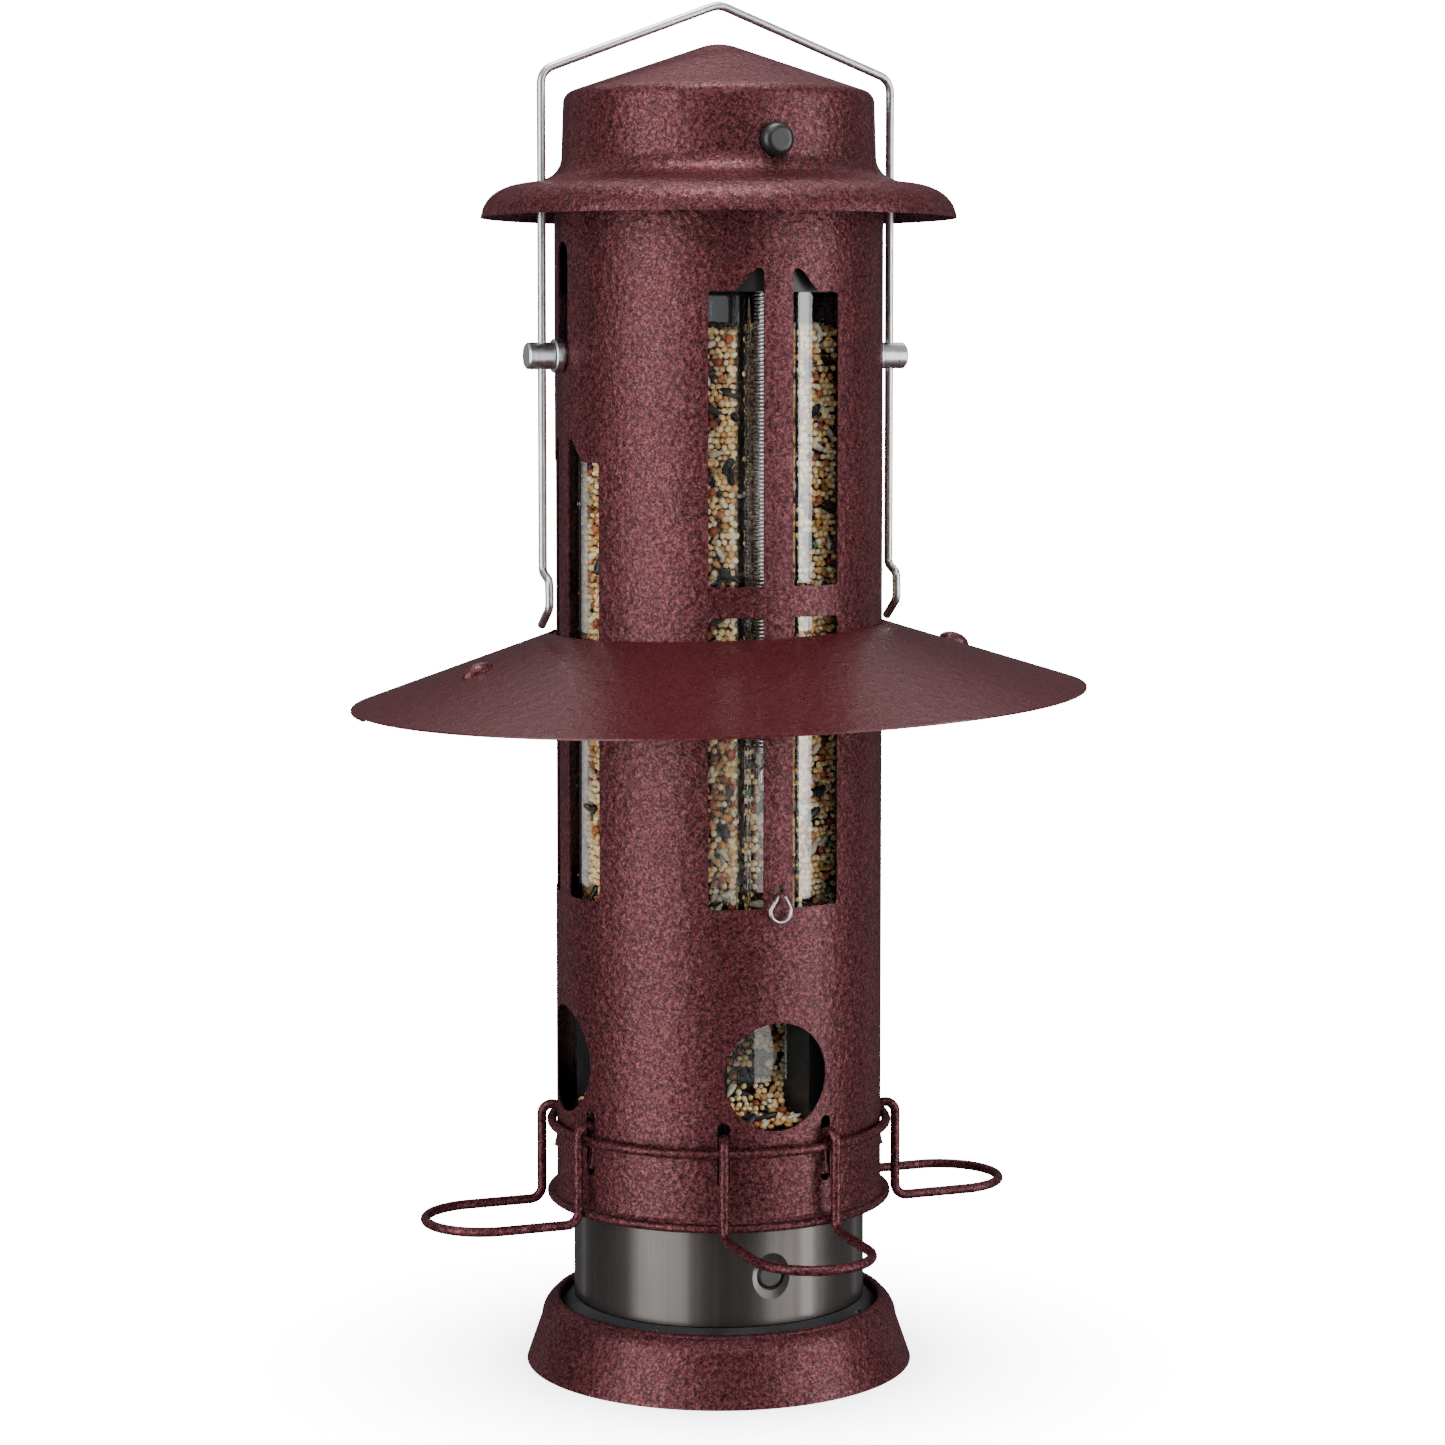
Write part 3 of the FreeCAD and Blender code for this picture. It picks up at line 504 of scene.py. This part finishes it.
# ---- mesh helpers ----
def add_mesh(name, points, faces, material, smooth=True):
    """A new object from arrays of points and equal-sided faces."""
    mesh = bpy.data.meshes.new(name)
    points = np.asarray(points, np.float32)
    faces = np.asarray(faces, np.int32)
    count, sides = faces.shape
    mesh.vertices.add(len(points))
    mesh.vertices.foreach_set("co", points.ravel())
    mesh.loops.add(count * sides)
    mesh.loops.foreach_set("vertex_index", faces.ravel())
    mesh.polygons.add(count)
    mesh.polygons.foreach_set("loop_start", np.arange(0, count * sides, sides, dtype=np.int32))
    mesh.update(calc_edges=True)
    mesh.validate()
    mesh.polygons.foreach_set("use_smooth", [smooth] * len(mesh.polygons))
    mesh.materials.append(material)
    obj = bpy.data.objects.new(name, mesh)
    bpy.context.scene.collection.objects.link(obj)
    return obj


def wire_mesh(name, path, radius, sides, material):
    """A round wire along a list of points, with closed ends."""
    path = np.asarray(path, float)
    way = np.gradient(path, axis=0)
    way /= np.linalg.norm(way, axis=1)[:, None]
    across = np.cross(way[0], (0.3, 0.5, 0.81))
    across /= np.linalg.norm(across)
    rings = []
    turns = 2 * np.pi * np.arange(sides) / sides
    for point, ahead in zip(path, way):
        across = across - ahead * across.dot(ahead)
        across /= np.linalg.norm(across)
        up = np.cross(ahead, across)
        rings.append(point + radius * (np.outer(np.cos(turns), across) + np.outer(np.sin(turns), up)))
    points = np.concatenate(rings + [path[:1], path[-1:]])
    faces = []
    for i in range(len(path) - 1):
        for k in range(sides):
            n = (k + 1) % sides
            a, b = i * sides + k, i * sides + n
            c, d = (i + 1) * sides + n, (i + 1) * sides + k
            faces += [(a, b, c), (a, c, d)]
    first, last = len(points) - 2, len(points) - 1
    end = (len(path) - 1) * sides
    for k in range(sides):
        n = (k + 1) % sides
        faces += [(first, n, k), (last, end + k, end + n)]
    return add_mesh(name, points, faces, material)


def spin(points, degrees):
    """Points turned about the feeder's axis."""
    a = math.radians(degrees)
    turned = np.array(points, float)
    x, y = turned[:, 0].copy(), turned[:, 1].copy()
    turned[:, 0] = x * math.cos(a) - y * math.sin(a)
    turned[:, 1] = x * math.sin(a) + y * math.cos(a)
    return turned


# ---- springs ----
def spring_path():
    """Helix with a hook ring at each end, on its own axis."""
    turns = round((SPRING_HIGH - SPRING_LOW) / SPRING_PITCH)
    steps = 18
    angle = np.linspace(0, 2 * np.pi * turns, turns * steps + 1) + np.pi / 2
    coil = np.stack([SPRING_COIL * np.cos(angle), SPRING_COIL * np.sin(angle),
                     np.linspace(SPRING_LOW, SPRING_HIGH, len(angle))], 1)

    def ring(end, up):
        sweep = np.radians(np.linspace(0, 275, 26))
        middle = end + up * (SPRING_RING + 0.2 * MM)
        return np.stack([np.zeros_like(sweep), SPRING_RING * np.cos(sweep),
                         middle + up * SPRING_RING * np.sin(sweep)], 1)
    return np.concatenate([ring(SPRING_LOW, -1)[::-1], coil, ring(SPRING_HIGH, 1)])


def springs():
    """Real coils in place of the plain sleeves, stretched between the tube and the shroud."""
    for face, way in FACES:
        path = spin(spring_path() + np.array([0, -SPRING_AXIS, 0]), way)
        coil = wire_mesh("coil_" + face, path, SPRING_WIRE, 7, MATERIALS["spring_steel"])
        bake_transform(coil)
        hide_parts("spring_" + face)


# ---- link wires ----
def rounded(path, rounds=3):
    """Path with its corners cut again and again, so that it bends smoothly."""
    path = np.asarray(path, float)
    for _ in range(rounds):
        near = 0.75 * path[:-1] + 0.25 * path[1:]
        far = 0.25 * path[:-1] + 0.75 * path[1:]
        path = np.concatenate([path[:1], np.stack([near, far], 1).reshape(-1, 3), path[-1:]])
    return path


def link_path():
    """Hook round the spring's lower ring, down inside the shroud and out to a teardrop eye."""
    low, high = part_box("link_wire_front")
    top, hole = high[2] - LINK_R, low[2] + LINK_R + EYE_DROP
    axis, face, side = -SPRING_AXIS, low[1] + LINK_R + 1.2 * MM, LINK_HOOK
    hook = [(-side, axis, top - 6 * MM), (-side, axis, top), (side, axis, top), (side, axis, top - 6 * MM),
            (0, axis, top - 11 * MM), (0, axis, hole + 1.2 * MM), (0, face, hole - 0.6 * MM)]
    eye = []
    for degrees in range(165, 376, 15):
        a = math.radians(degrees)
        eye.append((EYE_R * math.cos(a), face, hole - EYE_DROP + EYE_R * (1 + math.sin(a))))
    return rounded(hook + eye + [(1.2 * MM, face - 1.1 * MM, hole - 1.8 * MM)])


def link_wires():
    """Link wires with round bends in place of the ones with straight runs."""
    for face, way in FACES:
        link = wire_mesh("link_" + face, spin(link_path(), way), LINK_R, 12, MATERIALS["spring_steel"])
        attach(link, "shroud")
        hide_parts("link_wire_" + face)


# ---- clear ribs ----
def channel_ribs():
    """Two moulded ribs up the floor of each spring channel, which catch the light as bright lines."""
    for face, way in FACES:
        for side, x in (("left", -RIB_X), ("right", RIB_X)):
            heights = np.linspace(TUBE_LOW + 2.6 * MM, TUBE_HIGH - 1.0 * MM, 12)
            path = np.array([(x, -CHANNEL_IN - RIB_PROUD, z) for z in heights])
            name = "rib_%s_%s" % (face, side)
            rib = wire_mesh(name, spin(path, way), RIB_R, 14, MATERIALS["clear_plastic"])
            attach(rib, BODY)


# ---- seed ----
def seed_form(length, width, thick, taper, across, along):
    """Points and triangles of one seed lying along X; taper narrows its +X end."""
    points = [(-length / 2, 0, 0)]
    for i in range(1, along):
        t = math.pi * i / along
        x = -math.cos(t)
        girth = math.sin(t) * (1 - taper * 0.5 * (x + 1))
        for k in range(across):
            a = 2 * math.pi * k / across
            points.append((x * length / 2, girth * width / 2 * math.cos(a), girth * thick / 2 * math.sin(a)))
    points.append((length / 2, 0, 0))
    faces = []
    for k in range(across):
        n = (k + 1) % across
        faces.append((0, 1 + n, 1 + k))
        for i in range(along - 2):
            a, b = 1 + i * across + k, 1 + i * across + n
            faces += [(a, b, b + across), (a, b + across, a + across)]
        last = 1 + (along - 2) * across
        faces.append((last + k, last + n, len(points) - 1))
    return np.array(points) * MM, np.array(faces)


class SeedHeap:
    """Collects seeds of each kind and turns them into meshes."""

    MAX_FACES = 190000                                  # in one mesh
    KINDS = {
        # name: (length, width, thickness, taper, sides, rings, packing radius), mm
        "millet": (2.65, 2.4, 2.2, 0.1, 8, 6, 1.2),
        "milo": (3.7, 3.3, 3.0, 0.1, 8, 6, 1.75),
        "safflower": (6.6, 3.7, 3.0, 0.6, 8, 7, 2.4),
        "sunflower": (9.6, 5.2, 3.4, 0.75, 9, 8, 3.2),
        "green_pea": (3.0, 2.8, 2.6, 0.1, 7, 6, 1.5),
        "corn_chip": (4.2, 3.4, 2.4, 0.45, 6, 4, 1.9),
    }
    PER_SQUARE_MM = {"sunflower": 0.0028, "safflower": 0.0036, "corn_chip": 0.0050, "milo": 0.0190,
                     "green_pea": 0.0009}
    MILLET_STEP = 2.6 * MM
    MILLET_JITTER = 0.28 * MM

    def __init__(self, seed):
        self.random = np.random.default_rng(seed)
        self.places = {kind: [] for kind in self.KINDS}

    def add(self, kind, point, out, loose=0.35):
        """One seed at a point, lying roughly flat against the direction out."""
        out = np.array(out, float)
        out /= np.linalg.norm(out)
        out = out + loose * self.random.normal(size=3)
        out /= np.linalg.norm(out)
        along = self.random.normal(size=3)
        along -= out * along.dot(out)
        along /= np.linalg.norm(along)
        size = 1 + 0.10 * self.random.normal()
        size = min(max(size, 0.8), 1.18)
        turn = np.stack([along, np.cross(out, along), out], 1) * size
        self.places[kind].append((turn, np.array(point, float)))

    def cover(self, width, height, share=1.0):
        """Yield (u, v, kind) over a flat patch: large seeds first, millet round them."""
        taken = []
        area = width * height / MM ** 2
        for kind, density in self.PER_SQUARE_MM.items():
            radius = self.KINDS[kind][6] * MM
            for _ in range(int(area * density * share + self.random.random())):
                u = self.random.uniform(radius * 0.6, width - radius * 0.6)
                v = self.random.uniform(radius * 0.6, height - radius * 0.6)
                if all((u - p) ** 2 + (v - q) ** 2 > (radius + r) ** 2 * 0.8 for p, q, r in taken):
                    taken.append((u, v, radius))
                    yield u, v, kind
        big = np.array(taken) if taken else np.zeros((0, 3))
        step = self.MILLET_STEP
        row = 0
        v = step * 0.4
        while v < height:
            u = step * (0.3 if row % 2 else 0.8)
            while u < width:
                p = u + self.random.normal() * self.MILLET_JITTER
                q = v + self.random.normal() * self.MILLET_JITTER
                free = not len(big) or np.all((big[:, 0] - p) ** 2 + (big[:, 1] - q) ** 2
                                              > (big[:, 2] + 0.75 * MM) ** 2)
                if free:
                    yield p, q, "millet"
                u += step
            v += step * 0.88
            row += 1

    def half(self, kind):
        """Half the thickness of a kind of seed."""
        return self.KINDS[kind][2] * 0.5 * MM

    def build(self, paints):
        """Meshes of all the seed collected, each kind in as few as the face limit allows."""
        for kind, spots in self.places.items():
            if not spots:
                continue
            length, width, thick, taper, sides, rings, _ = self.KINDS[kind]
            points, faces = seed_form(length, width, thick, taper, sides, rings)
            per_mesh = self.MAX_FACES // len(faces)
            for part in range(0, len(spots), per_mesh):
                group = spots[part:part + per_mesh]
                all_points = np.concatenate([points @ turn.T + spot for turn, spot in group])
                shift = (np.arange(len(group)) * len(points))[:, None, None]
                all_faces = (faces[None] + shift).reshape(-1, 3)
                name = "%s_%d" % (kind, part // per_mesh + 1)
                obj = add_mesh(name, all_points, all_faces, paints[kind])
                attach(obj, BODY)


def wall_seed(heap, middle_deg, half_deg, low, high, radius, share=1.0):
    """A layer of seed against the inside of the round wall."""
    arc = 2 * math.radians(half_deg) * radius
    start = math.radians(middle_deg - half_deg)
    for u, v, kind in heap.cover(arc, high - low, share):
        a = start + u / radius
        r = radius - heap.half(kind)
        heap.add(kind, (r * math.sin(a), -r * math.cos(a), low + v), (math.sin(a), -math.cos(a), 0))


def fill_tube(heap):
    """Seed seen through the windows, on the round wall and on the walls of the spring channels."""
    edge = math.degrees(math.asin((CHANNEL_HALF + 0.6 * MM) / TUBE_IN))
    reach = WALL_SEED_REACH
    low, high = WALL_SEED_LOW, SEED_TOP - 1.5 * MM
    for layer in range(2):
        radius = TUBE_IN - 0.1 * MM - layer * 1.9 * MM
        for face in (0, 180):
            for sign in (-1, 1):
                middle = face + sign * (edge + reach) / 2
                wall_seed(heap, middle, (reach - edge) / 2, low, high, radius)
        for face in (90, 270):
            wall_seed(heap, face, reach, low, SIDE_SEED_TOP, radius)
    for sign in (-1, 1):
        for face_sign in (-1, 1):
            side_wall(heap, sign, face_sign, low, high)
    for face_sign in (-1, 1):
        for u, v, kind in heap.cover(2 * CHANNEL_HALF, SPRING_LOW - low):
            y = face_sign * (CHANNEL_IN - 0.2 * MM - heap.half(kind))
            heap.add(kind, (u - CHANNEL_HALF, y, low + v), (0, face_sign, 0))


def side_wall(heap, sign, face_sign, low, high):
    """Seed against one side wall of one spring channel."""
    depth = TUBE_IN * 0.955 - CHANNEL_IN
    for u, v, kind in heap.cover(depth, high - low):
        x = sign * (CHANNEL_HALF + 0.2 * MM + heap.half(kind))
        heap.add(kind, (x, face_sign * (CHANNEL_IN + u), low + v), (sign, 0, 0))


def top_seed(heap):
    """The uneven top of the seed, where the upper windows show it."""
    reach = TUBE_IN - 1.6 * MM
    inner = 34 * MM
    for u, v, kind in heap.cover(2 * reach, 2 * reach):
        x, y = u - reach, v - reach
        r = math.hypot(x, y)
        in_channel = abs(x) < CHANNEL_HALF + 1.6 * MM and abs(y) > CHANNEL_IN - 1.6 * MM
        if r > reach or r < inner or in_channel:
            continue
        heave = 1.6 * math.sin(x / MM * 0.13) + 1.2 * math.cos(y / MM * 0.17)
        heap.add(kind, (x, y, SEED_TOP - 1.0 * MM + heave * 0.8 * MM), (0, 0, 1), 0.6)


def port_seed(heap):
    """Seed behind each clear baffle, and seed spilled on the tray in each port."""
    for face in (0, 90, 180, 270):
        wall_seed(heap, face, PORT_SEED_HALF, TRAY_Z + 2 * MM, BAY_TOP - 3 * MM, PORT_SEED_R)
        near, far = PORT_SEED_R, TUBE_IN + 1.2 * MM
        wide = 2 * far * math.tan(math.radians(SPILL_HALF))
        for layer in range(3):
            for u, v, kind in heap.cover(wide, far - near, 1.3):
                depth = near + v
                side = u - wide / 2
                room = (depth - 4.9 * MM) * math.tan(math.radians(PORT_SEED_HALF)) - 1.6 * MM
                if abs(side) > room or math.hypot(side, depth) > far - 1.0 * MM:
                    continue
                slope = SPILL_SLOPE * (far - depth)
                z = TRAY_Z + 1.3 * MM + slope * (0.35 + 0.32 * layer)
                if z > TRAY_Z + SPILL_TOP:
                    continue
                x, y = spin([(side, -depth, 0)], face)[0][:2]
                lean_x, lean_y = 0.25 * math.sin(math.radians(face)), -0.25 * math.cos(math.radians(face))
                heap.add(kind, (x, y, z), (lean_x, lean_y, 1), 0.5)


def seed_core():
    """Solid heap behind the first layers, so that no gap shows through."""
    round_r = TUBE_IN - CORE_GAP
    half = CHANNEL_HALF + CORE_GAP
    depth = CHANNEL_IN - CORE_GAP
    outline = []
    for face in (0, 180):
        edge = math.asin(half / round_r)
        sign = 1 if face == 0 else -1
        outline += [(sign * -half, sign * -depth), (sign * half, sign * -depth)]
        for i in range(33):
            a = edge + (math.pi - 2 * edge) * i / 32
            outline.append((sign * round_r * math.sin(a), sign * -round_r * math.cos(a)))
    outline = np.array(outline)
    slim = (PORT_SEED_R - 2.2 * MM) / round_r
    rings = [(SEED_LOW + 1 * MM, slim * 0.98), (TUBE_LOW + 2 * MM, slim), (TUBE_LOW + 6 * MM, 1.0),
             (SEED_TOP - 4 * MM, 1.0), (SEED_TOP - 2.5 * MM, 0.9)]
    points = []
    for z, scale in rings:
        for x, y in outline:
            r = math.hypot(x, y)
            grow = scale * round_r / r if scale < 0.9 else scale
            points.append((x * grow, y * grow, z))
    points += [(0, 0, rings[0][0]), (0, 0, rings[-1][0])]
    n = len(outline)
    faces = []
    for level in range(len(rings) - 1):
        for i in range(n):
            j = (i + 1) % n
            a, b = level * n + i, level * n + j
            faces += [(a, b, b + n), (a, b + n, a + n)]
    last = (len(rings) - 1) * n
    for i in range(n):
        j = (i + 1) % n
        faces += [(len(points) - 2, j, i), (len(points) - 1, last + i, last + j)]
    core = add_mesh("seed_core", points, faces, MATERIALS["seed"], smooth=False)
    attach(core, BODY)
    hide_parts("seed_fill")


def all_seed():
    """Loose seed of six kinds round a core painted darker, as shade deep in the heap."""
    paints = {
        "millet": seed_paint("millet_coat", [(0.0, (0.72, 0.36, 0.12)), (0.3, (0.93, 0.62, 0.27)),
                                             (0.7, (0.98, 0.76, 0.42)), (1.0, (0.98, 0.88, 0.66))]),
        "milo": seed_paint("milo_coat", [(0.0, (0.19, 0.040, 0.018)), (0.5, (0.40, 0.085, 0.028)),
                                         (0.8, (0.50, 0.17, 0.06)), (1.0, (0.62, 0.33, 0.16))], 0.38),
        "safflower": seed_paint("safflower_coat", [(0.0, (0.62, 0.52, 0.38)),
                                                   (1.0, (0.84, 0.78, 0.68))], 0.42),
        "sunflower": seed_paint("sunflower_coat", [(0.0, (0.010, 0.010, 0.011)), (0.8, (0.030, 0.028, 0.028)),
                                                   (1.0, (0.10, 0.085, 0.07))], 0.42, 400, 0.12 * MM),
        "green_pea": seed_paint("green_coat", [(0.0, (0.05, 0.18, 0.06)), (1.0, (0.10, 0.30, 0.14))], 0.4),
        "corn_chip": seed_paint("corn_coat", [(0.0, (0.60, 0.25, 0.05)), (1.0, (0.78, 0.50, 0.16))], 0.5),
    }
    heap = SeedHeap(7)
    fill_tube(heap)
    top_seed(heap)
    port_seed(heap)
    heap.build(paints)
    seed_core()


studio()
surroundings()
floor()
dress_nodes()
springs()
link_wires()
channel_ribs()
all_seed()
